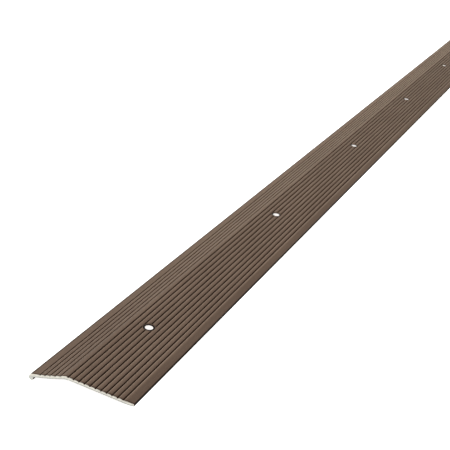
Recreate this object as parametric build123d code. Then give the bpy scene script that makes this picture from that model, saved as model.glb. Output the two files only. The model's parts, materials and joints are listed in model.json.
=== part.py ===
from build123d import *
import math
import os

# Fluted threshold strip: one aluminium extrusion with a row of screw holes. The flutes are
# pressed flat round each hole, which gives the screw's head a level seat.
# Millimetres. The strip runs along Y and rests on the floor at Z = 0, with +Z up.
# The origin is on the floor under the middle of the strip. The hooked bead that holds the
# carpet's edge is on the -X side, and the thin toe that meets the lower floor is on +X.

# Driving dimensions. A place across the strip is measured from the bead's outer edge.
LENGTH = 914.4                # 36 in
WIDTH = 50.8                  # 2 in, over the bead and the toe
HEIGHT = 6.1                  # floor to the top of the crown
CROWN_PLACE = 19.0
CROWN_RADIUS = 5.0
WING_ANGLE_AT_CROWN = 14.0    # degrees; the wing is hollow and steepens towards the crown
WING_ANGLE_AT_BEAD = 6.0
FACET_ANGLE = 9.0             # degrees; the long straight slope from the crown to the toe
WEB = 1.5                     # wall thickness
CROWN_WEB = 1.62              # wall thickness under the crown
CROWN_HAUNCH = 1.4            # how far the thicker wall reaches past the crown's arc

BEAD_RADIUS = 1.2             # the rounded underside of the bead
BEAD_SHOULDER_RADIUS = 1.9    # and its rounded top
LIP_PLACE = 1.9               # inner corner of the bead's down-turned lip
LIP_ROOT_PLACE = 2.2          # where the lip's inner face meets the wall

TOE_TOP_RADIUS = 0.3
TOE_FOOT_RADIUS = 0.15

WING_GROOVES = 5
WING_PITCH = 2.52
FIRST_WING_GROOVE = 5.86
FACET_GROOVES = 11
FACET_PITCH = 2.59
FIRST_FACET_GROOVE = 19.85
GROOVE_WIDTH = 0.7
GROOVE_DEPTH = 0.32
FLUTE_RISE = 0.12             # how far the middle of a facet's flute stands above its edges
WING_RISE = 0.05              # the same for the wing's flatter flutes

HOLE_COUNT = 6
END_TO_HOLE = 55.0            # each end of the strip to the nearest hole
HOLE_PLACE = 27.9
HOLE_DIAMETER = 3.8
EDGE_BREAK = 0.1              # the chamfer round a hole's upper edge
SEAT_DIAMETER = 6.3
SEAT_BACKING = 0.5            # how far the seat's metal reaches down past its face

# Derived dimensions
HOLE_SPACING = (LENGTH - 2 * END_TO_HOLE) / (HOLE_COUNT - 1)
HALF_WIDTH = WIDTH / 2
HALF_GROOVE = GROOVE_WIDTH / 2
SEAT_DEPTH = FLUTE_RISE
WING_SIN = math.sin(math.radians(WING_ANGLE_AT_CROWN))
BEAD_SIN = math.sin(math.radians(WING_ANGLE_AT_BEAD))
FACET_SIN = math.sin(math.radians(FACET_ANGLE))
WING_COS = math.cos(math.radians(WING_ANGLE_AT_CROWN))
FACET_COS = math.cos(math.radians(FACET_ANGLE))
WING_START = BEAD_SHOULDER_RADIUS * (1 - BEAD_SIN)
WING_END = CROWN_PLACE - CROWN_RADIUS * WING_SIN
WING_RADIUS = (WING_END - WING_START) / (WING_SIN - BEAD_SIN)
FACET_START = CROWN_PLACE + CROWN_RADIUS * FACET_SIN
TOE_START = WIDTH - TOE_TOP_RADIUS


def crest(place):
    """Height of the line over the tops of the flutes, and its slope angle in degrees."""
    if place <= WING_END:
        wing_end_z = HEIGHT - CROWN_RADIUS * (1 - WING_COS)
        centre = WING_END - WING_RADIUS * WING_SIN
        angle = math.asin((place - centre) / WING_RADIUS)
        return wing_end_z + WING_RADIUS * (WING_COS - math.cos(angle)), math.degrees(angle)
    if place <= FACET_START:
        angle = math.asin((CROWN_PLACE - place) / CROWN_RADIUS)
        return HEIGHT - CROWN_RADIUS * (1 - math.cos(angle)), math.degrees(angle)
    facet_start_z = HEIGHT - CROWN_RADIUS * (1 - FACET_COS)
    drop = (place - FACET_START) * FACET_SIN / FACET_COS
    return facet_start_z - drop, -FACET_ANGLE


def under(place, depth):
    """The point this far under the crest line, square to it."""
    z, degrees = crest(place)
    angle = math.radians(degrees)
    x = place - HALF_WIDTH + depth * math.sin(angle)
    return Vector(x, 0, z - depth * math.cos(angle))


def groove_places():
    """The middles of the wing's grooves and of the facet's, from the bead to the toe."""
    wing = [FIRST_WING_GROOVE + WING_PITCH * i for i in range(WING_GROOVES)]
    facet = [FIRST_FACET_GROOVE + FACET_PITCH * i for i in range(FACET_GROOVES)]
    return wing, facet


def groove(place, rise, start_depth):
    """One round-bottomed groove, beside flutes that rise this much."""
    return ThreePointArc(
        under(place - HALF_GROOVE, start_depth),
        under(place, rise + GROOVE_DEPTH),
        under(place + HALF_GROOVE, rise),
    )


def flute(start, end, start_depth, end_depth):
    """The bowed top between two grooves."""
    return ThreePointArc(
        under(start, start_depth), under((start + end) / 2, 0), under(end, end_depth)
    )


def grooves_with_flutes(places, rise, start_depth):
    """A field of grooves at these places, with the flutes between them."""
    edges = [groove(places[0], rise, start_depth)]
    for before, place in zip(places, places[1:]):
        edges.append(flute(before + HALF_GROOVE, place - HALF_GROOVE, rise, rise))
        edges.append(groove(place, rise, rise))
    return edges


def top_edges():
    """The ribbed top, from the bead's shoulder to the toe."""
    wing, facet = groove_places()
    crown_end = under(facet[0] - HALF_GROOVE, 0)
    crown = [
        flute(wing[-1] + HALF_GROOVE, WING_END, WING_RISE, 0),
        ThreePointArc(under(WING_END, 0), under(CROWN_PLACE, 0), crown_end),
    ]
    return [
        flute(WING_START, wing[0] - HALF_GROOVE, 0, WING_RISE),
        *grooves_with_flutes(wing, WING_RISE, WING_RISE),
        *crown,
        *grooves_with_flutes(facet, FLUTE_RISE, 0),
        flute(facet[-1] + HALF_GROOVE, TOE_START, FLUTE_RISE, 0),
    ]


def toe_edges():
    """The blunt toe and the flat under it, to where the underside lifts off the floor."""
    tip = under(TOE_START, 0)
    side_top = Vector(HALF_WIDTH, 0, tip.Z - TOE_TOP_RADIUS)
    side_foot = Vector(HALF_WIDTH, 0, TOE_FOOT_RADIUS)
    flat_start = Vector(HALF_WIDTH - TOE_FOOT_RADIUS, 0, 0)
    return [
        TangentArc(side_top, tip, tangent=(0, 0, 1)),
        Line(side_top, side_foot),
        TangentArc(side_foot, flat_start, tangent=(0, 0, -1)),
        Line(flat_start, lift_off()),
    ]


def lift_off():
    """Where the facet's underside reaches the floor."""
    facet_start_z = crest(FACET_START)[0]
    reach = (facet_start_z - WEB / FACET_COS) * FACET_COS / FACET_SIN
    return Vector(FACET_START + reach - HALF_WIDTH, 0, 0)


def under_edges():
    """The underside, from the toe's flat over the crown to the root of the lip."""
    facet_end = under(FACET_START + CROWN_HAUNCH, WEB)
    wing_end = under(WING_END - CROWN_HAUNCH, WEB)
    wing_middle = under((WING_END - CROWN_HAUNCH + LIP_ROOT_PLACE) / 2, WEB)
    return [
        Line(lift_off(), facet_end),
        ThreePointArc(facet_end, under(CROWN_PLACE, CROWN_WEB), wing_end),
        ThreePointArc(wing_end, wing_middle, under(LIP_ROOT_PLACE, WEB)),
    ]


def bead_edges():
    """The lip's inner face and the outside of the bead, up to the wing."""
    lip_reach = LIP_PLACE - BEAD_RADIUS
    lip_z = BEAD_RADIUS - math.sqrt(BEAD_RADIUS**2 - lip_reach**2)
    lip = Vector(LIP_PLACE - HALF_WIDTH, 0, lip_z)
    foot = Vector(BEAD_RADIUS - HALF_WIDTH, 0, 0)
    side = Vector(-HALF_WIDTH, 0, BEAD_RADIUS)
    return [
        Line(under(LIP_ROOT_PLACE, WEB), lip),
        ThreePointArc(lip, foot, side),
        TangentArc(side, under(WING_START, 0), tangent=(0, 0, 1)),
    ]


def extrusion():
    """The whole section, drawn out to the strip's length."""
    outline = Wire(top_edges() + toe_edges() + under_edges() + bead_edges())
    return extrude(make_face(outline), amount=LENGTH / 2, dir=(0, 1, 0), both=True)


def facet_plane(y, depth):
    """A plane in the facet's slope, this far under its crest line, on the hole at y."""
    origin = under(HOLE_PLACE, 0)
    normal = Vector(FACET_SIN, 0, FACET_COS)
    place = Vector(origin.X, y, origin.Z) - normal * depth
    return Plane(origin=place, x_dir=(FACET_COS, 0, -FACET_SIN), z_dir=normal)


def disc(radius, thickness):
    """A disc that stands on its plane."""
    return Pos(0, 0, thickness / 2) * Cylinder(radius, thickness)


def seat_backing(y):
    """The metal pressed into the grooves under a seat."""
    return facet_plane(y, SEAT_DEPTH + SEAT_BACKING) * disc(SEAT_DIAMETER / 2, SEAT_BACKING)


def hole_cutter(y):
    """The space over a seat, and the chamfered upright hole through it."""
    seat = facet_plane(y, SEAT_DEPTH)
    over = seat * disc(SEAT_DIAMETER / 2, HEIGHT)
    radius = HOLE_DIAMETER / 2
    wide = radius + EDGE_BREAK
    chamfer = seat * Pos(0, 0, -wide / 2) * Cone(0, wide, wide)
    bore = Pos(HOLE_PLACE - HALF_WIDTH, y, HEIGHT / 2) * Cylinder(radius, 2 * HEIGHT)
    return [over, chamfer, bore]


def fluted_strip():
    """The finished strip, with its screw holes."""
    strip = extrusion()
    first = -LENGTH / 2 + END_TO_HOLE
    for i in range(HOLE_COUNT):
        y = first + HOLE_SPACING * i
        strip += seat_backing(y)
        strip -= hole_cutter(y)
    return strip


os.makedirs("parts", exist_ok=True)
export_step(fluted_strip(), "parts/fluted_strip.step")
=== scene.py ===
import json
import math

import bmesh
import bpy
from mathutils import Matrix, Vector, geometry


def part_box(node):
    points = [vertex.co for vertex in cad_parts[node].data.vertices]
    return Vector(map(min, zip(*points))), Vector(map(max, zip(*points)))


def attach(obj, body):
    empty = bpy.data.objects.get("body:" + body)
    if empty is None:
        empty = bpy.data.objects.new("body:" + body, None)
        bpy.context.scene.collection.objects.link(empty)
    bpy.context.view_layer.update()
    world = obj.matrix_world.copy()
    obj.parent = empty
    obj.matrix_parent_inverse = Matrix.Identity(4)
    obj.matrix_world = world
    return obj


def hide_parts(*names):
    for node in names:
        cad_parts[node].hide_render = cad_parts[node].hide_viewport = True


# A fluted aluminium threshold strip in its bronze finish. One mesh stands for the CAD node.
# The section is worked out in millimetres in the CAD frame, and the mesh is in metres.
# A place across the strip is measured from the bead's outer edge, as on the CAD part.

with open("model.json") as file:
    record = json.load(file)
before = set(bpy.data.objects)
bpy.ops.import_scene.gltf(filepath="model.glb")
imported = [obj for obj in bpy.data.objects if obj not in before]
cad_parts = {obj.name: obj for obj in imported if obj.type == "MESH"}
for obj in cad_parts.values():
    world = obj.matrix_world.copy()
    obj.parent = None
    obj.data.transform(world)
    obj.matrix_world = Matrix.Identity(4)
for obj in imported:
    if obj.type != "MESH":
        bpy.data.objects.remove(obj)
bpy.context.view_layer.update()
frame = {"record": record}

MM = 0.001
NODE = "fluted_strip"
NODE_LOW, NODE_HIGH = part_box(NODE)
LENGTH = (NODE_HIGH.y - NODE_LOW.y) / MM
WIDTH = (NODE_HIGH.x - NODE_LOW.x) / MM
HEIGHT = (NODE_HIGH.z - NODE_LOW.z) / MM
HALF_WIDTH = WIDTH / 2
HALF_LENGTH = LENGTH / 2

# The section. Angles are in degrees.
CROWN_PLACE = 19.0
CROWN_RADIUS = 5.0
WING_ANGLE_AT_CROWN = 14.0    # the wing is hollow and steepens towards the crown
WING_ANGLE_AT_BEAD = 6.0
FACET_ANGLE = 9.0             # the long straight slope from the crown to the toe
WEB = 1.5                     # wall thickness
CROWN_WEB = 1.62              # wall thickness under the crown
CROWN_HAUNCH = 1.4            # how far the thicker wall reaches past the crown's arc
BEAD_RADIUS = 1.2             # the rounded underside of the bead
BEAD_SHOULDER_RADIUS = 1.9    # and its rounded top
LIP_PLACE = 1.9               # inner corner of the bead's down-turned lip
LIP_ROOT_PLACE = 2.2          # where the lip's inner face meets the wall
TOE_TOP_RADIUS = 0.3
TOE_FOOT_RADIUS = 0.15
WING_GROOVES = 5
WING_PITCH = 2.52
FIRST_WING_GROOVE = 5.86
FACET_GROOVES = 11
FACET_PITCH = 2.59
FIRST_FACET_GROOVE = 19.85
GROOVE_WIDTH = 0.7
GROOVE_DEPTH = 0.32
FLUTE_RISE = 0.12             # how far the middle of a facet's flute stands above its edges
WING_RISE = 0.05              # the same for the wing's flatter flutes
SHOULDER = 0.1                # how far a groove's rounded edge reaches each way
HALF_GROOVE = GROOVE_WIDTH / 2

WING_SIN = math.sin(math.radians(WING_ANGLE_AT_CROWN))
WING_COS = math.cos(math.radians(WING_ANGLE_AT_CROWN))
BEAD_SIN = math.sin(math.radians(WING_ANGLE_AT_BEAD))
FACET_SIN = math.sin(math.radians(FACET_ANGLE))
FACET_COS = math.cos(math.radians(FACET_ANGLE))
WING_START = BEAD_SHOULDER_RADIUS * (1 - BEAD_SIN)
WING_END = CROWN_PLACE - CROWN_RADIUS * WING_SIN
WING_RADIUS = (WING_END - WING_START) / (WING_SIN - BEAD_SIN)
FACET_START = CROWN_PLACE + CROWN_RADIUS * FACET_SIN
TOE_START = WIDTH - TOE_TOP_RADIUS
LAST_WING_GROOVE = FIRST_WING_GROOVE + WING_PITCH * (WING_GROOVES - 1)
LAST_FACET_GROOVE = FIRST_FACET_GROOVE + FACET_PITCH * (FACET_GROOVES - 1)

# The holes: upright bores through flat seats in the facet. Their places come from the mounts.
SEAT_RADIUS = 3.15
SEAT_DEPTH = FLUTE_RISE
SEAT_EDGE = 0.08              # half the width of the slope round a seat
EDGE_BREAK = 0.1              # the chamfer round a bore's upper edge
BORE_BREAK = 0.12             # and round its lower edge
SHADE_RING_WIDTH = 0.9               # the width of the painted shade ring on a seat, outside the chamfer
PATCH_REACH = 4.4             # half the side of the square of mesh round a hole

# Painted shade: how much darker the colour is painted, from 0 to 1. In the grooves it is 1.
FULL_SHADE_SHARE = 0.35       # the share of a groove's depth at which it is that dark
WING_LAND_SHADE = 0.06
CROWN_SHADE = 0.1
TOE_LAND_SHADE = 0.25
TOE_LIGHT_REACH = 0.9         # how far past the last groove the toe's land gets no painted shade
BEAD_SHADE = 0.75             # over the bead's shoulder
BEAD_SHADE_REACH = 1.75       # and how far across the bead that is
CUT_EDGE_SHADE = 0.75             # painted shade beside the cut
CUT_EDGE_SHADE_REACH = 1.4              # and how far from the cut that fades out

BEAD_CUT_DEPTH = 0.75         # the sawn bead takes the tone that is this share down the wall
END_BREAK = 0.09              # the fine broken edge round each sawn end: along the strip
END_INSET = 0.05              # and into the section
WELD = 0.002                  # points nearer than this are one point
CDT_EPSILON = 1e-6
HIGHLIGHT_ANGLE = 6.0              # an outline that turns by more than this gets a painted highlight on its shoulder
SHARP_ANGLE = 33.0            # faces that meet at more than this have a sharp edge between them

# How finely the mesh is divided
STATION_PITCH = 13.0          # the longest step along the strip
GROOVE_STEPS = 8
FLUTE_STEPS = 8
SHOULDER_STEPS = 4
WING_LAND_STEPS = 12
CROWN_STEPS = 12
TOE_LAND_STEPS = 16
TOE_TOP_STEPS = 5
TOE_FOOT_STEPS = 4
UNDER_TOE_STEPS = 3
UNDER_CROWN_STEPS = 10
UNDER_WING_STEPS = 16
LIP_STEPS = 4
BEAD_STEPS = 14
HOLE_STEPS = 180

# Where the faces lie on the texture, as shares of its height
SHEET_TOP = 0.90              # the long faces lie below this
BORE_BAND = (0.905, 0.935)
NEAR_END_BAND = (0.94, 0.965)
FAR_END_BAND = (0.97, 0.995)
BORE_FILL = 0.96              # the share of its part of the band that a bore takes
END_MARGIN = 0.01             # the clear width at each side of an end

# The material slots. The edge slot is painted shade round the holes and down the toe's side.
FINISH, CUT, BORE, EDGE_SHADE = range(4)


def mount_holes():
    """Each hole's x and y, and the bore's radius, from the record's bolt patterns."""
    centres = []
    for mount in frame["record"]["mounts"]:
        if mount["kind"] != "bolt_pattern":
            continue
        x, y, _ = (value / MM for value in mount["pos_m"])
        half = mount["dims"]["spacing_y_mm"] / 2
        centres += [(x, y - half), (x, y + half)]
        radius = mount["dims"]["hole_r_mm"]
    return sorted(centres, key=lambda centre: centre[1]), radius


HOLES, BORE_RADIUS = mount_holes()
HOLE_X = HOLES[0][0]


# ---- The section ------------------------------------------------------------------------

def crest(place):
    """Height of the line over the tops of the flutes, and its slope angle in radians."""
    if place <= WING_END:
        wing_end_z = HEIGHT - CROWN_RADIUS * (1 - WING_COS)
        centre = WING_END - WING_RADIUS * WING_SIN
        angle = math.asin((place - centre) / WING_RADIUS)
        return wing_end_z + WING_RADIUS * (WING_COS - math.cos(angle)), angle
    if place <= FACET_START:
        angle = math.asin((CROWN_PLACE - place) / CROWN_RADIUS)
        return HEIGHT - CROWN_RADIUS * (1 - math.cos(angle)), angle
    facet_start_z = HEIGHT - CROWN_RADIUS * (1 - FACET_COS)
    drop = (place - FACET_START) * FACET_SIN / FACET_COS
    return facet_start_z - drop, -math.radians(FACET_ANGLE)


def under(place, depth):
    """The point this far under the crest line, square to it."""
    z, angle = crest(place)
    return Vector((place - HALF_WIDTH + depth * math.sin(angle), z - depth * math.cos(angle)))


def shares(count):
    """Evenly spaced numbers from 0 to 1."""
    return [i / count for i in range(count + 1)]


def bow(start, end, start_depth, end_depth, count=FLUTE_STEPS, ends=(SHOULDER, SHOULDER)):
    """A bowed flute top, stopping short of its ends where a rounded shoulder takes over."""
    points = []
    for share in shares(count):
        place = start + ends[0] + (end - start - ends[0] - ends[1]) * share
        t = (place - start) / (end - start)
        depth = start_depth * (2 * t - 1) * (t - 1) + end_depth * t * (2 * t - 1)
        points.append(under(place, depth))
    return points


def groove(place, rise):
    """A round-bottomed groove beside flutes that rise this much, without its shoulders."""
    radius = (HALF_GROOVE**2 + GROOVE_DEPTH**2) / (2 * GROOVE_DEPTH)
    centre_depth = rise + GROOVE_DEPTH - radius
    reach = math.asin(HALF_GROOVE / radius) - SHOULDER / radius
    points = []
    for share in shares(GROOVE_STEPS):
        angle = reach * (2 * share - 1)
        depth = centre_depth + radius * math.cos(angle)
        points.append(under(place + radius * math.sin(angle), depth))
    return points


def rounded(before, corner, after):
    """The points strictly between before and after, on a curve that rounds the corner."""
    points = []
    for share in shares(SHOULDER_STEPS)[1:-1]:
        near = before.lerp(corner, share)
        far = corner.lerp(after, share)
        points.append(near.lerp(far, share))
    return points


def fluted_field(places, rise, first_depth):
    """Grooves at these places with flutes between them, and the corners where they meet."""
    pieces = []
    corners = []
    for i, place in enumerate(places):
        start = place + HALF_GROOVE
        corners += [under(place - HALF_GROOVE, rise if i else first_depth), under(start, rise)]
        pieces.append(groove(place, rise))
        if i + 1 < len(places):
            pieces.append(bow(start, places[i + 1] - HALF_GROOVE, rise, rise))
    return pieces, corners


def join_top(pieces, corners):
    """The pieces in order, with a rounded shoulder wherever there is a corner between two."""
    points = list(pieces[0])
    for corner, piece in zip(corners, pieces[1:]):
        if corner is not None:
            points += rounded(points[-1], corner, piece[0])
            points += piece
        else:
            points += piece[1:]
    return points


def top_points():
    """The ribbed top, from the bead's shoulder to the toe."""
    wing = [FIRST_WING_GROOVE + WING_PITCH * i for i in range(WING_GROOVES)]
    facet = [FIRST_FACET_GROOVE + FACET_PITCH * i for i in range(FACET_GROOVES)]
    wing_pieces, wing_corners = fluted_field(wing, WING_RISE, WING_RISE)
    facet_pieces, facet_corners = fluted_field(facet, FLUTE_RISE, 0)
    crown_span = facet[0] - HALF_GROOVE - SHOULDER - WING_END
    pieces = [
        bow(WING_START, wing[0] - HALF_GROOVE, 0, WING_RISE, WING_LAND_STEPS, (0, SHOULDER)),
        *wing_pieces,
        bow(wing[-1] + HALF_GROOVE, WING_END, WING_RISE, 0, ends=(SHOULDER, 0)),
        [under(WING_END + crown_span * share, 0) for share in shares(CROWN_STEPS)],
        *facet_pieces,
        bow(facet[-1] + HALF_GROOVE, TOE_START, FLUTE_RISE, 0, TOE_LAND_STEPS, (SHOULDER, 0)),
    ]
    return join_top(pieces, [*wing_corners, None, *facet_corners])


def arc(centre, radius, start, end, count):
    """Points on a round corner, between two angles in degrees."""
    points = []
    for share in shares(count):
        angle = math.radians(start + (end - start) * share)
        x = centre[0] + radius * math.cos(angle)
        y = centre[1] + radius * math.sin(angle)
        points.append(Vector((x, y)))
    return points


def line(start, end, stops):
    """Points at these shares of a straight line."""
    return [start.lerp(end, share) for share in stops]


def three_point_arc(start, middle, end, count):
    """Points on the circle through three points, from start to end."""
    ax, ay = start
    bx, by = middle
    cx, cy = end
    d = 2 * (ax * (by - cy) + bx * (cy - ay) + cx * (ay - by))
    a2, b2, c2 = ax * ax + ay * ay, bx * bx + by * by, cx * cx + cy * cy
    centre = Vector((
        (a2 * (by - cy) + b2 * (cy - ay) + c2 * (ay - by)) / d,
        (a2 * (cx - bx) + b2 * (ax - cx) + c2 * (bx - ax)) / d,
    ))
    radius = (start - centre).length
    first = math.atan2(*(start - centre).yx)
    sweep = math.remainder(math.atan2(*(end - centre).yx) - first, 2 * math.pi)
    return arc(centre, radius, math.degrees(first), math.degrees(first + sweep), count)


def toe_points():
    """The blunt toe, down to the floor."""
    top_centre = under(TOE_START, 0) - Vector((0, TOE_TOP_RADIUS))
    foot_centre = (HALF_WIDTH - TOE_FOOT_RADIUS, TOE_FOOT_RADIUS)
    top = arc(top_centre, TOE_TOP_RADIUS, 90, 0, TOE_TOP_STEPS)
    foot = arc(foot_centre, TOE_FOOT_RADIUS, 0, -90, TOE_FOOT_STEPS)
    return top[1:] + foot


def lift_off():
    """Where the facet's underside reaches the floor."""
    facet_start_z = crest(FACET_START)[0]
    reach = (facet_start_z - WEB / FACET_COS) * FACET_COS / FACET_SIN
    return Vector((FACET_START + reach - HALF_WIDTH, 0))


def under_points():
    """The underside, from where it lifts off the floor, under the crown to the root of the lip."""
    facet_end = under(FACET_START + CROWN_HAUNCH, WEB)
    wing_end = under(WING_END - CROWN_HAUNCH, WEB)
    wing_middle = under((WING_END - CROWN_HAUNCH + LIP_ROOT_PLACE) / 2, WEB)
    start = lift_off()
    span = start.x - facet_end.x
    patch_start, patch_end = ((start.x - HOLE_X - side * PATCH_REACH) / span for side in (1, -1))
    stops = [patch_start * share for share in shares(UNDER_TOE_STEPS)]
    points = line(start, facet_end, [*stops, patch_end, 1])
    crown = under(CROWN_PLACE, CROWN_WEB)
    points += three_point_arc(facet_end, crown, wing_end, UNDER_CROWN_STEPS)[1:]
    root = under(LIP_ROOT_PLACE, WEB)
    points += three_point_arc(wing_end, wing_middle, root, UNDER_WING_STEPS)[1:]
    return points


def bead_points():
    """The lip's inner face and the outside of the bead, up to the wing."""
    lip_reach = LIP_PLACE - BEAD_RADIUS
    lip_z = BEAD_RADIUS - math.sqrt(BEAD_RADIUS**2 - lip_reach**2)
    lip = Vector((LIP_PLACE - HALF_WIDTH, lip_z))
    root = under(LIP_ROOT_PLACE, WEB)
    lip_angle = math.degrees(math.atan2(lip_z - BEAD_RADIUS, lip_reach))
    centre = (BEAD_RADIUS - HALF_WIDTH, BEAD_RADIUS)
    foot = arc(centre, BEAD_RADIUS, lip_angle, -180, BEAD_STEPS)
    side = foot[-1]
    run, rise = under(WING_START, 0) - side
    radius = (run * run + rise * rise) / (2 * run)
    sweep = math.degrees(math.asin(rise / radius))
    shoulder = arc((side.x + radius, side.y), radius, 180, 180 - sweep, BEAD_STEPS)
    return line(root, lip, shares(LIP_STEPS))[1:-1] + foot + shoulder[1:-1]


def section():
    """The closed outline, and how many of its points are on the ribbed top."""
    top = top_points()
    return top + toe_points() + under_points() + bead_points(), len(top)


def inset(outline, amount):
    """The outline moved inwards, for the broken edge at a sawn end."""
    moved = []
    count = len(outline)
    for i, point in enumerate(outline):
        ahead = (outline[(i + 1) % count] - outline[i - 1]).normalized()
        moved.append(point + Vector((ahead.y, -ahead.x)) * amount)
    return moved


# ---- The mesh -----------------------------------------------------------------------------

def stations():
    """The mesh's places along the strip. None falls inside a hole's patch.

    The one next to each end is where the painted shade beside the cut fades out.
    """
    edges = [-HALF_LENGTH + END_BREAK]
    for _, y in HOLES:
        edges += [y - PATCH_REACH, y + PATCH_REACH]
    edges.append(HALF_LENGTH - END_BREAK)
    places = [edges[0]]
    for i, (start, end) in enumerate(zip(edges, edges[1:])):
        inside_patch = i % 2 == 1
        steps = 1 if inside_patch else math.ceil((end - start) / STATION_PITCH)
        places += [start + (end - start) * share for share in shares(steps)[1:]]
    places.insert(1, places[0] + CUT_EDGE_SHADE_REACH)
    places.insert(-1, places[-1] - CUT_EDGE_SHADE_REACH)
    return places


class Strip:
    """The strip's mesh while it is built."""

    def __init__(self):
        self.bm = bmesh.new()
        # Per-vertex amounts of painted highlight on the shoulders and of painted shade, for the bronze's
        # colour
        self.shoulder_highlight = self.bm.verts.layers.float.new("shoulder_highlight")
        self.shade = self.bm.verts.layers.float.new("shade")
        self.depth = self.bm.verts.layers.float.new("cut_depth")
        self.uv = self.bm.loops.layers.uv.new("OFBake")
        self.outline, self.top_count = section()
        self.places = stations()
        self.travel = [0.0]
        for a, b in zip(self.outline, self.outline[1:] + self.outline[:1]):
            self.travel.append(self.travel[-1] + (b - a).length)

    def vertex(self, x, y, z, shoulder_highlight=0.0, shade=0.0):
        vert = self.bm.verts.new((x * MM, y * MM, z * MM))
        vert[self.shoulder_highlight] = shoulder_highlight
        vert[self.shade] = shade
        return vert

    def face(self, verts, slot, corners):
        face = self.bm.faces.new(verts)
        face.material_index = slot
        face.smooth = True
        for loop, corner in zip(face.loops, corners):
            loop[self.uv].uv = corner


def sheet_uv(strip, travel, y):
    """The long faces are unrolled: across the texture goes round the section."""
    return travel / strip.travel[-1], SHEET_TOP * (y + HALF_LENGTH) / LENGTH


def in_patch(strip, i, j):
    """Whether this cell of the long faces belongs to a hole's patch."""
    middle = (strip.places[j] + strip.places[j + 1]) / 2
    if min(abs(middle - y) for _, y in HOLES) > PATCH_REACH / 2:
        return False
    top_low, top_high = strip.top_patch
    under_low, under_high = strip.under_patch
    return top_low <= i < top_high or under_low <= i < under_high


def find_patches(strip):
    """The runs of outline points, on the top and on the underside, that bound the holes' patches."""
    reach = [abs(point.x - HOLE_X) for point in strip.outline]
    top = [i for i in range(strip.top_count) if reach[i] <= PATCH_REACH]
    below = range(strip.top_count, len(reach))
    sides = [i for i in below if abs(reach[i] - PATCH_REACH) < WELD]
    strip.top_patch = (top[0], top[-1])
    strip.under_patch = (sides[0], sides[-1])


def crest_depth(point):
    """How far under the crest line a point of the top lies, square to it."""
    place = min(max(point.x + HALF_WIDTH, WING_START), TOE_START)
    crest_z, slope = crest(place)
    return (crest_z - point.y) * math.cos(slope)


def painted_shoulder_highlight(strip, i):
    """How much painted highlight this outline point gets: only on the shoulders that face the bead."""
    if i >= strip.top_count:
        return 0.0
    a, b, c = (strip.outline[k] for k in (i - 1, i, i + 1))
    convex = (b - a).angle_signed(c - b, 0.0) > math.radians(HIGHLIGHT_ANGLE)
    return 1.0 if convex and crest_depth(a) > crest_depth(c) else 0.0


def land_shade(place):
    """The painted shade on the top outside the grooves: a little on the lands, and none on the flutes.
    """
    if place < BEAD_SHADE_REACH:
        return BEAD_SHADE
    if place < FIRST_WING_GROOVE - HALF_GROOVE:
        return WING_LAND_SHADE
    if place > LAST_FACET_GROOVE + HALF_GROOVE + TOE_LIGHT_REACH:
        return TOE_LAND_SHADE
    if LAST_WING_GROOVE + HALF_GROOVE + SHOULDER < place < FIRST_FACET_GROOVE - HALF_GROOVE:
        return CROWN_SHADE
    return 0.0


def painted_shade_at(strip, i):
    """How much painted shade this outline point gets: most in the grooves, the toe and the lip."""
    point = strip.outline[i]
    place = point.x + HALF_WIDTH
    if i < strip.top_count:
        rise = WING_RISE if place < CROWN_PLACE else FLUTE_RISE
        share = (crest_depth(point) - rise) / (GROOVE_DEPTH * FULL_SHADE_SHARE)
        return max(land_shade(place), min(max(share, 0.0), 1.0))
    lip_root = under(LIP_ROOT_PLACE, WEB).x + HALF_WIDTH
    in_lip = BEAD_RADIUS < place < lip_root + WELD
    if in_lip or place > WIDTH - TOE_TOP_RADIUS:
        return 1.0
    return BEAD_SHADE if place < BEAD_RADIUS else 0.0


def build_sheet(strip):
    """The long faces, all round the section."""
    count = len(strip.outline)
    shoulder_highlight = [painted_shoulder_highlight(strip, i) for i in range(count)]
    shade = [painted_shade_at(strip, i) for i in range(count)]
    rows = []
    for y in strip.places:
        # Painted shade beside each sawn end, fading out by the next station
        at_cut = y in (strip.places[0], strip.places[-1])
        least = CUT_EDGE_SHADE if at_cut else 0.0
        points = enumerate(strip.outline)
        rows.append([strip.vertex(p.x, y, p.y, shoulder_highlight[i], max(shade[i], least)) for i, p in points])
    for j in range(len(strip.places) - 1):
        for i in range(count):
            if in_patch(strip, i, j):
                continue
            k = (i + 1) % count
            verts = (rows[j][i], rows[j][k], rows[j + 1][k], rows[j + 1][i])
            low, high = strip.places[j], strip.places[j + 1]
            left, right = strip.travel[i], strip.travel[i + 1]
            spots = ((left, low), (right, low), (right, high), (left, high))
            middle = (strip.outline[i].x + strip.outline[k].x) / 2 + HALF_WIDTH
            # The toe's side takes the painted edge shade
            slot = EDGE_SHADE if middle > WIDTH - TOE_TOP_RADIUS / 2 else FINISH
            strip.face(verts, slot, [sheet_uv(strip, *spot) for spot in spots])
    strip.rows = rows


def triangulate(points, edges):
    """Triangles over these points that keep to these edges.

    Returns the points, the triangles, and which input points each output point was.
    """
    made = geometry.delaunay_2d_cdt(points, edges, [], 0, CDT_EPSILON, True)
    points, _, triangles, sources = made[:4]
    return points, triangles, sources


def middle_of(points, triangle):
    """The middle of a triangle."""
    return sum((points[i] for i in triangle), Vector((0, 0))) / 3


def ring_edges(start, count):
    """Edges that close a loop of points."""
    return [(start + i, start + (i + 1) % count) for i in range(count)]


def inside(point, loop):
    """Whether a point is inside a closed loop."""
    hit = False
    for a, b in zip(loop, loop[1:] + loop[:1]):
        if (a.y > point.y) != (b.y > point.y):
            if point.x < a.x + (point.y - a.y) / (b.y - a.y) * (b.x - a.x):
                hit = not hit
    return hit


def cut_depth(x, z):
    """How far down the wall a point of a sawn face is, from 0 at its top to 1."""
    place = min(max(x + HALF_WIDTH, WING_START), TOE_START)
    deepest = 1.0 if place > LIP_ROOT_PLACE else BEAD_CUT_DEPTH
    top = crest(place)[0]
    share = (top - z) / min(WEB, top)
    return min(max(share, 0.0), deepest)


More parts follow.
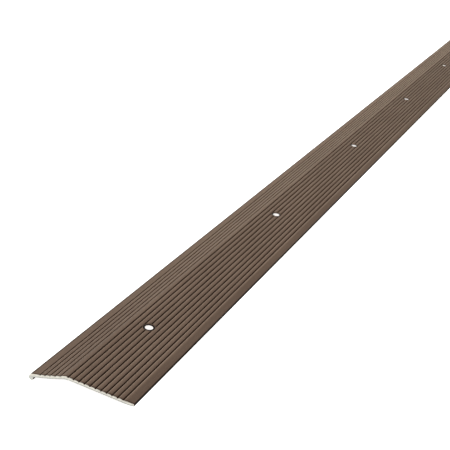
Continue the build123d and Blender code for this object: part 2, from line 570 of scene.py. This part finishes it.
def build_end(strip, row, y, band):
    """A sawn end: its fine broken edge and its flat face. band is its part of the texture."""
    ring = []
    for point in inset(strip.outline, END_INSET):
        vert = strip.vertex(point.x, y, point.y)
        vert[strip.depth] = cut_depth(point.x, point.y)
        ring.append(vert)

    def add_face(verts, turned):
        if turned:
            verts.reverse()
        spots = []
        for vert in verts:
            across = (vert.co.x / MM + HALF_WIDTH) / WIDTH
            up = vert.co.z / MM / HEIGHT
            left = END_MARGIN + (1 - 2 * END_MARGIN) * across
            spots.append((left, band[0] + (band[1] - band[0]) * up))
        strip.face(verts, CUT, spots)

    edges = ring_edges(0, len(ring))
    for i, k in edges:
        add_face([row[i], row[k], ring[k], ring[i]], turned=y < 0)
    loop = [Vector((vert.co.x / MM, vert.co.z / MM)) for vert in ring]
    points, triangles, sources = triangulate(loop, edges)
    for triangle in triangles:
        if inside(middle_of(points, triangle), loop):
            add_face([ring[sources[i][0]] for i in triangle], turned=y > 0)


# ---- A hole, in the facet's own directions: across it, along the strip and into it --------

HOLE_TOP = crest(HOLE_X + HALF_WIDTH)[0]


def to_facet(x, z):
    """Across and depth of a section point, from the middle of a hole's mouth."""
    dx, dz = x - HOLE_X, z - HOLE_TOP
    return dx * FACET_COS - dz * FACET_SIN, -(dx * FACET_SIN + dz * FACET_COS)


def from_facet(across, depth):
    """The section point at this place across the facet and this far into it."""
    x = HOLE_X + across * FACET_COS - depth * FACET_SIN
    z = HOLE_TOP - across * FACET_SIN - depth * FACET_COS
    return x, z


def depth_at(profile, across):
    """The top's depth under the crest line there, and how far along the profile that is."""
    for i, ((a0, d0), (a1, d1)) in enumerate(zip(profile, profile[1:])):
        if across <= a1:
            share = (across - a0) / (a1 - a0)
            return d0 + (d1 - d0) * share, i + share
    return profile[-1][1], len(profile) - 1


def facet_z(x, depth):
    """The height at x of a plane that lies this far into the facet."""
    return HOLE_TOP - (x - HOLE_X) * FACET_SIN / FACET_COS - depth / FACET_COS


def seat_outline():
    """A seat's outline as (across, along) points on the fluted top."""
    angles = [2 * math.pi * i / HOLE_STEPS for i in range(HOLE_STEPS)]
    radius = SEAT_RADIUS + SEAT_EDGE
    return [Vector((radius * math.cos(angle), radius * math.sin(angle))) for angle in angles]


def square_with_hole(columns, loop):
    """Triangles over the square between two stations, outside loop, along every column.

    columns are the places across where outline points run along the strip.
    Returns what triangulate returns, for the columns' low ends, their high ends and the loop.
    """
    low = [Vector((a, -PATCH_REACH)) for a in columns]
    high = [Vector((a, PATCH_REACH)) for a in columns]
    count = len(columns)
    edges = [(i, count + i) for i in range(count)]
    edges += [(i, i + 1) for i in range(count - 1)]
    edges += [(count + i, count + i + 1) for i in range(count - 1)]
    edges += ring_edges(2 * count, len(loop))
    points, triangles, sources = triangulate(low + high + loop, edges)
    kept = [t for t in triangles if not inside(middle_of(points, t), loop)]
    return points, kept, sources


def loop_of(points, triangles):
    """The outline of the hole in these triangles, in order round it."""
    seen = set()
    for triangle in triangles:
        seen.update(zip(triangle, triangle[1:] + triangle[:1]))
    open_edges = {a: b for a, b in seen if (b, a) not in seen}
    rim = [a for a in open_edges if points[a].length < SEAT_RADIUS + SEAT_EDGE + WELD]
    start = min(rim, key=lambda a: abs(math.atan2(points[a].y, points[a].x)))
    order = [start]
    while open_edges[order[-1]] != start:
        order.append(open_edges[order[-1]])
    return order


def build_top_patch(strip, y, near, far):
    """The fluted top round a hole. Returns its rim's points and their angles round the hole."""
    low, high = strip.top_patch
    profile = [to_facet(point.x, point.y) for point in strip.outline[low:high + 1]]
    columns = [across for across, _ in profile]
    count = len(columns)
    points, triangles, sources = square_with_hole(columns, seat_outline())
    verts = []
    travels = []
    for point, source in zip(points, sources):
        depth, along = depth_at(profile, point.x)
        left = low + int(along)
        share = along - int(along)
        travels.append(strip.travel[left] + (strip.travel[left + 1] - strip.travel[left]) * share)
        grid = [s for s in source if s < 2 * count]
        if grid:
            row = near if grid[0] < count else far
            verts.append(row[low + grid[0] % count])
        else:
            x, z = from_facet(point.x, depth)
            before, after = (vert[strip.shade] for vert in near[left:left + 2])
            verts.append(strip.vertex(x, y + point.y, z, shade=before + (after - before) * share))
    for triangle in triangles:
        corners = [sheet_uv(strip, travels[i], y + points[i].y) for i in triangle]
        strip.face([verts[i] for i in triangle], FINISH, corners)
    order = loop_of(points, triangles)
    return [verts[i] for i in order], [math.atan2(points[i].y, points[i].x) for i in order]


def build_hole(strip, number, y):
    """One hole: the fluted top round it, its seat, its bore and the underside round it."""
    station = min(range(len(strip.places)), key=lambda j: abs(strip.places[j] - (y - PATCH_REACH)))
    near, far = strip.rows[station], strip.rows[station + 1]
    rim, angles = build_top_patch(strip, y, near, far)
    rings = [rim]
    slots = []

    def seat_ring(radius, slot):
        ring = []
        for angle in angles:
            x, z = from_facet(radius * math.cos(angle), SEAT_DEPTH)
            ring.append(strip.vertex(x, y + radius * math.sin(angle), z))
        rings.append(ring)
        slots.append(slot)

    def bore_ring(radius, depth, slot, rise=0.0):
        ring = []
        for angle in angles:
            x = HOLE_X + radius * math.cos(angle)
            ring.append(strip.vertex(x, y + radius * math.sin(angle), facet_z(x, depth) + rise))
        rings.append(ring)
        slots.append(slot)

    mouth = BORE_RADIUS + EDGE_BREAK
    seat_ring(SEAT_RADIUS - SEAT_EDGE, FINISH)
    seat_ring(mouth + SHADE_RING_WIDTH, FINISH)
    # From here down to the bore: the painted edge shade, on a ring of the seat and on the chamfer
    seat_ring(mouth, EDGE_SHADE)
    bore_ring(BORE_RADIUS, SEAT_DEPTH + EDGE_BREAK, EDGE_SHADE)
    bore_ring(BORE_RADIUS, WEB, BORE, rise=BORE_BREAK)
    bore_ring(BORE_RADIUS + BORE_BREAK, WEB, BORE)
    build_wall(strip, number, rings, slots)
    build_under_patch(strip, rings[-1], near, far, y)


def build_wall(strip, number, rings, slots):
    """The seat's and the bore's faces, from ring to ring."""
    count = len(rings[0])
    low, high = BORE_BAND
    for k, slot in enumerate(slots):
        for i in range(count):
            n = (i + 1) % count
            verts = [rings[k][n], rings[k][i], rings[k + 1][i], rings[k + 1][n]]
            left, right = ((number + BORE_FILL * s / count) / len(HOLES) for s in (i, i + 1))
            top, bottom = (high - (high - low) * s / len(slots) for s in (k, k + 1))
            spots = [(right, top), (left, top), (left, bottom), (right, bottom)]
            strip.face(verts, slot, spots)


def build_under_patch(strip, rim, near, far, y):
    """The flat underside round a bore."""
    low, high = strip.under_patch
    loop = [Vector((v.co.x / MM - HOLE_X, v.co.y / MM - y)) for v in rim]
    columns = [strip.outline[i].x - HOLE_X for i in range(high, low - 1, -1)]
    count = len(columns)
    points, triangles, sources = square_with_hole(columns, loop)
    verts = []
    for source in sources:
        first = source[0]
        if first < 2 * count:
            row = near if first < count else far
            verts.append(row[high - first % count])
        else:
            verts.append(rim[first - 2 * count])
    wide = strip.travel[high] - strip.travel[low]
    for triangle in triangles:
        spots = []
        for i in reversed(triangle):
            share = (columns[-1] - points[i].x) / (columns[-1] - columns[0])
            spots.append(sheet_uv(strip, strip.travel[low] + wide * share, y + points[i].y))
        strip.face([verts[i] for i in reversed(triangle)], FINISH, spots)


def build_strip():
    """The whole strip as one closed mesh."""
    strip = Strip()
    find_patches(strip)
    build_sheet(strip)
    build_end(strip, strip.rows[0], -HALF_LENGTH, NEAR_END_BAND)
    build_end(strip, strip.rows[-1], HALF_LENGTH, FAR_END_BAND)
    for number, (_, y) in enumerate(HOLES):
        build_hole(strip, number, y)
    bm = strip.bm
    bmesh.ops.remove_doubles(bm, verts=bm.verts, dist=WELD * MM)
    for edge in bm.edges:
        one_material = len({face.material_index for face in edge.link_faces}) == 1
        edge.smooth = one_material and edge.calc_face_angle() < math.radians(SHARP_ANGLE)
    mesh = bpy.data.meshes.new("threshold_strip")
    bm.to_mesh(mesh)
    bm.free()
    piece = bpy.data.objects.new("threshold_strip", mesh)
    bpy.context.scene.collection.objects.link(piece)
    return piece


# ---- Materials ------------------------------------------------------------------------------

BRONZE = (0.1119, 0.0753, 0.0569, 1)
PALE_BRONZE = (0.1293, 0.0888, 0.0675, 1)
# The painted highlight colour for the shoulders that face the bead
SHOULDER_HIGHLIGHT_BRONZE = (0.32, 0.245, 0.19, 1)
# The painted shade colour, for the grooves, lands, bead, lip, toe and beside the cuts
PAINTED_SHADE_BROWN = (0.022, 0.011, 0.006, 1)
BRONZE_SPECULAR = (0.8, 0.62, 0.5, 1)
SAWN_UPPER = (0.585, 0.55, 0.48, 1)
SAWN_LOWER = (0.445, 0.445, 0.41, 1)
# A painted shade along the foot of a cut face
SAWN_FOOT_SHADE = (0.24, 0.24, 0.22, 1)
SAW_LINE = (0.35, 0.34, 0.31, 1)
BRIGHT_BORE = (0.96, 0.955, 0.94, 1)
DULL_BORE = (0.9, 0.89, 0.87, 1)
# Painted shade colours for the edge round the holes and down the toe's side
EDGE_SHADE_BLACK = (0.006, 0.004, 0.003, 1)
EDGE_SHADE_BROWN = (0.014, 0.009, 0.006, 1)
WHITE = (1, 1, 1, 1)


class Nodes:
    """A small helper for writing node trees."""

    def __init__(self, name):
        self.material = bpy.data.materials.new(name)
        self.material.use_nodes = True
        self.tree = self.material.node_tree
        self.shader = next(n for n in self.tree.nodes if n.type == "BSDF_PRINCIPLED")
        self.place = self.add("ShaderNodeTexCoord").outputs["Object"]

    def add(self, kind, **settings):
        node = self.tree.nodes.new(kind)
        for name, value in settings.items():
            setattr(node, name, value)
        return node

    def link(self, value, socket):
        """A socket is linked, and a plain number or colour is set."""
        if isinstance(value, bpy.types.NodeSocket):
            self.tree.links.new(value, socket)
        else:
            socket.default_value = value

    def noise(self, scale, detail=3.0, roughness=0.5):
        """Noise with its own scale along each axis, in features per metre."""
        mapping = self.add("ShaderNodeMapping")
        mapping.inputs["Scale"].default_value = scale
        self.link(self.place, mapping.inputs["Vector"])
        node = self.add("ShaderNodeTexNoise")
        node.inputs["Scale"].default_value = 1.0
        node.inputs["Detail"].default_value = detail
        node.inputs["Roughness"].default_value = roughness
        self.link(mapping.outputs["Vector"], node.inputs["Vector"])
        return node.outputs["Fac"]

    def spread(self, value, low, high, start=0.3, end=0.7):
        """A value between start and end, stretched to run from low to high."""
        node = self.add("ShaderNodeMapRange")
        self.link(value, node.inputs["Value"])
        for name, number in zip(("From Min", "From Max", "To Min", "To Max"), (start, end, low, high)):
            node.inputs[name].default_value = number
        return node.outputs["Result"]

    def maths(self, operation, a, b):
        node = self.add("ShaderNodeMath", operation=operation)
        self.link(a, node.inputs[0])
        self.link(b, node.inputs[1])
        return node.outputs["Value"]

    def mix(self, share, a, b, blend="MIX"):
        node = self.add("ShaderNodeMix", data_type="RGBA", blend_type=blend)
        self.link(share, node.inputs["Factor"])
        self.link(a, node.inputs["A"])
        self.link(b, node.inputs["B"])
        return node.outputs["Result"]

    def grey(self, value):
        """The grey of this value."""
        node = self.add("ShaderNodeCombineColor")
        for channel in node.inputs:
            self.link(value, channel)
        return node.outputs["Color"]

    def bump(self, height, distance):
        node = self.add("ShaderNodeBump")
        node.inputs["Distance"].default_value = distance
        self.link(height, node.inputs["Height"])
        self.link(node.outputs["Normal"], self.shader.inputs["Normal"])

    def attribute(self, name):
        return self.add("ShaderNodeAttribute", attribute_name=name).outputs["Fac"]

    def set(self, **values):
        for name, value in values.items():
            self.link(value, self.shader.inputs[name.replace("_", " ")])


def bronze():
    """Satin bronze finish: die lines along the strip, mottling, painted highlights on shoulders and
    painted shade.
    """
    nodes = Nodes("bronze_finish_satin")
    lines = nodes.noise((7000, 6, 7000), detail=4.0, roughness=0.6)
    streaks = nodes.noise((900, 3, 900), detail=2.0)
    grain = nodes.noise((2600, 1500, 2600), detail=2.0)
    cloud = nodes.noise((60, 18, 60), detail=3.0)
    colour = nodes.mix(nodes.spread(cloud, 0, 1), BRONZE, PALE_BRONZE)
    tint = nodes.spread(lines, 0.92, 1.08)
    tint = nodes.maths("MULTIPLY", tint, nodes.spread(streaks, 0.95, 1.05))
    tint = nodes.maths("MULTIPLY", tint, nodes.spread(grain, 0.84, 1.16))
    colour = nodes.mix(1.0, colour, nodes.grey(tint), blend="MULTIPLY")
    # Painted highlight on the shoulders that face the bead
    highlight = nodes.maths("MULTIPLY", nodes.attribute("shoulder_highlight"), nodes.spread(cloud, 0.7, 0.95))
    colour = nodes.mix(highlight, colour, SHOULDER_HIGHLIGHT_BRONZE)
    # Painted shade in the grooves, on the lands, the bead, the lip, the toe and beside the cuts
    shade = nodes.attribute("shade")
    colour = nodes.mix(shade, colour, PAINTED_SHADE_BROWN)
    rough = nodes.maths("ADD", nodes.spread(lines, 0.42, 0.5), nodes.spread(grain, -0.03, 0.03))
    rough = nodes.maths("ADD", rough, nodes.maths("MULTIPLY", shade, 0.35))
    nodes.set(Base_Color=colour, Roughness=rough, Metallic=0.4)
    nodes.set(Specular_IOR_Level=0.25, Specular_Tint=BRONZE_SPECULAR)
    height = nodes.maths("ADD", lines, nodes.maths("MULTIPLY", grain, 0.5))
    nodes.bump(height, 0.00001)
    return nodes.material


def sawn():
    """Bare aluminium at the cut ends: a bright band over a duller one, a painted shade along the foot,
    and saw lines.
    """
    nodes = Nodes("sawn_aluminium")
    saw = nodes.noise((2600, 2600, 180), detail=3.0)
    specks = nodes.noise((1800, 1800, 1800), detail=2.0)
    depth = nodes.maths("ADD", nodes.attribute("cut_depth"), nodes.spread(specks, -0.1, 0.1))
    lower = nodes.spread(depth, 0, 1, start=0.45, end=0.62)
    colour = nodes.mix(lower, SAWN_UPPER, SAWN_LOWER)
    # Painted shade along the foot of the cut face
    foot = nodes.spread(depth, 0, 1, start=0.8, end=1.0)
    colour = nodes.mix(foot, colour, SAWN_FOOT_SHADE)
    colour = nodes.mix(nodes.spread(saw, 0.0, 0.25), colour, SAW_LINE)
    nodes.set(Base_Color=colour, Roughness=nodes.spread(saw, 0.42, 0.6), Metallic=0.4)
    nodes.bump(saw, 0.00002)
    return nodes.material


def drilled():
    """Bare bright aluminium down the bores, with turning marks."""
    nodes = Nodes("drilled_aluminium")
    turned = nodes.noise((500, 500, 9000), detail=2.0)
    colour = nodes.mix(nodes.spread(turned, 0, 1), BRIGHT_BORE, DULL_BORE)
    nodes.set(Base_Color=colour, Roughness=nodes.spread(turned, 0.18, 0.3), Metallic=1.0)
    nodes.bump(turned, 0.000005)
    return nodes.material


def painted_edge_shade():
    """Painted shade, near-black and matt, round the holes and down the toe's side."""
    nodes = Nodes("edge_painted_shade")
    mottle = nodes.noise((1500, 1500, 1500), detail=2.0)
    colour = nodes.mix(nodes.spread(mottle, 0, 1), EDGE_SHADE_BLACK, EDGE_SHADE_BROWN)
    nodes.set(Base_Color=colour, Roughness=nodes.spread(mottle, 0.75, 0.9), Metallic=0.0)
    nodes.set(Specular_IOR_Level=0.1)
    nodes.bump(mottle, 0.000005)
    return nodes.material


def paper():
    """The plain white floor. It is lit a little from within, as a light table is."""
    nodes = Nodes("white_floor")
    tone = nodes.spread(nodes.noise((3, 3, 3)), 0.88, 0.92)
    nodes.set(Base_Color=nodes.grey(tone), Roughness=0.9)
    nodes.set(Emission_Color=WHITE, Emission_Strength=1.0)
    return nodes.material


# ---- Floor, lights and camera ---------------------------------------------------------------

# Places and distances here are in metres, and angles are in degrees.
FLOOR_SIDE = 12.0
FLOOR_DROP = 0.00002          # keeps the floor's face apart from the strip's underside
LAMP_DISTANCE = 3.0
WORLD_STRENGTH = 0.1
FOCAL_MM = 74.95
SENSOR_MM = 36.0
NEAREST, FARTHEST = 0.01, 50.0  # the camera's clipping distances
CAMERA_PLACE = Vector((0.19005, -0.73796, 0.20606))
CAMERA_AZIMUTH = 24.03        # to the left of straight along the strip
CAMERA_ELEVATION = 21.47      # down from level
CAMERA_ROLL = 0.39


def add_floor():
    mesh = bpy.data.meshes.new("floor")
    half = FLOOR_SIDE / 2
    corners = [(x * half, y * half, 0) for x, y in ((-1, -1), (1, -1), (1, 1), (-1, 1))]
    mesh.from_pydata(corners, [], [(0, 1, 2, 3)])
    floor = bpy.data.objects.new("floor", mesh)
    floor.location.z = -FLOOR_DROP
    bpy.context.scene.collection.objects.link(floor)
    mesh.materials.append(paper())


def add_light(name, azimuth, elevation, size, watts, colour):
    """A large soft lamp, turned to the strip.

    Azimuth 0 is behind the strip's far end, and negative is the bead's side.
    """
    lamp = bpy.data.lights.new(name, "AREA")
    lamp.shape = "RECTANGLE"
    lamp.size, lamp.size_y = size
    lamp.energy = watts
    lamp.color = colour
    light = bpy.data.objects.new(name, lamp)
    turn, tilt = math.radians(azimuth), math.radians(elevation)
    level = LAMP_DISTANCE * math.cos(tilt)
    up = LAMP_DISTANCE * math.sin(tilt)
    light.location = (level * math.sin(turn), level * math.cos(turn), up)
    light.rotation_mode = "QUATERNION"
    light.rotation_quaternion = (-light.location).to_track_quat("-Z", "Y")
    bpy.context.scene.collection.objects.link(light)


def add_world():
    world = bpy.data.worlds.new("studio")
    world.use_nodes = True
    background = next(n for n in world.node_tree.nodes if n.type == "BACKGROUND")
    background.inputs["Color"].default_value = WHITE
    background.inputs["Strength"].default_value = WORLD_STRENGTH
    bpy.context.scene.world = world


def add_camera():
    data = bpy.data.cameras.new("camera")
    data.lens = FOCAL_MM
    data.sensor_width = SENSOR_MM
    data.clip_start = NEAREST
    data.clip_end = FARTHEST
    camera = bpy.data.objects.new("camera", data)
    turn = Matrix.Rotation(math.radians(CAMERA_AZIMUTH), 4, "Z")
    tilt = Matrix.Rotation(math.radians(90 - CAMERA_ELEVATION), 4, "X")
    roll = Matrix.Rotation(math.radians(CAMERA_ROLL), 4, "Z")
    camera.matrix_world = Matrix.Translation(CAMERA_PLACE) @ turn @ tilt @ roll
    bpy.context.scene.collection.objects.link(camera)
    bpy.context.scene.camera = camera


add_camera()
add_world()
add_floor()
add_light("softbox", -28, 42, size=(2.4, 1.8), watts=30, colour=(1.0, 0.93, 0.82))
add_light("low_back", -20, 7, size=(2.4, 0.6), watts=8.5, colour=(1.0, 0.95, 0.77))
add_light("side_key", -85, 22, size=(1.6, 0.9), watts=113, colour=(0.93, 0.99, 1.0))
add_light("front_fill", 110, 40, size=(1.6, 1.4), watts=74, colour=(1.0, 1.0, 1.0))

strip_piece = build_strip()
for material in (bronze(), sawn(), drilled(), painted_edge_shade()):
    strip_piece.data.materials.append(material)
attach(strip_piece, "root")
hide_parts(NODE)
bpy.context.scene.view_settings.view_transform = "Standard"
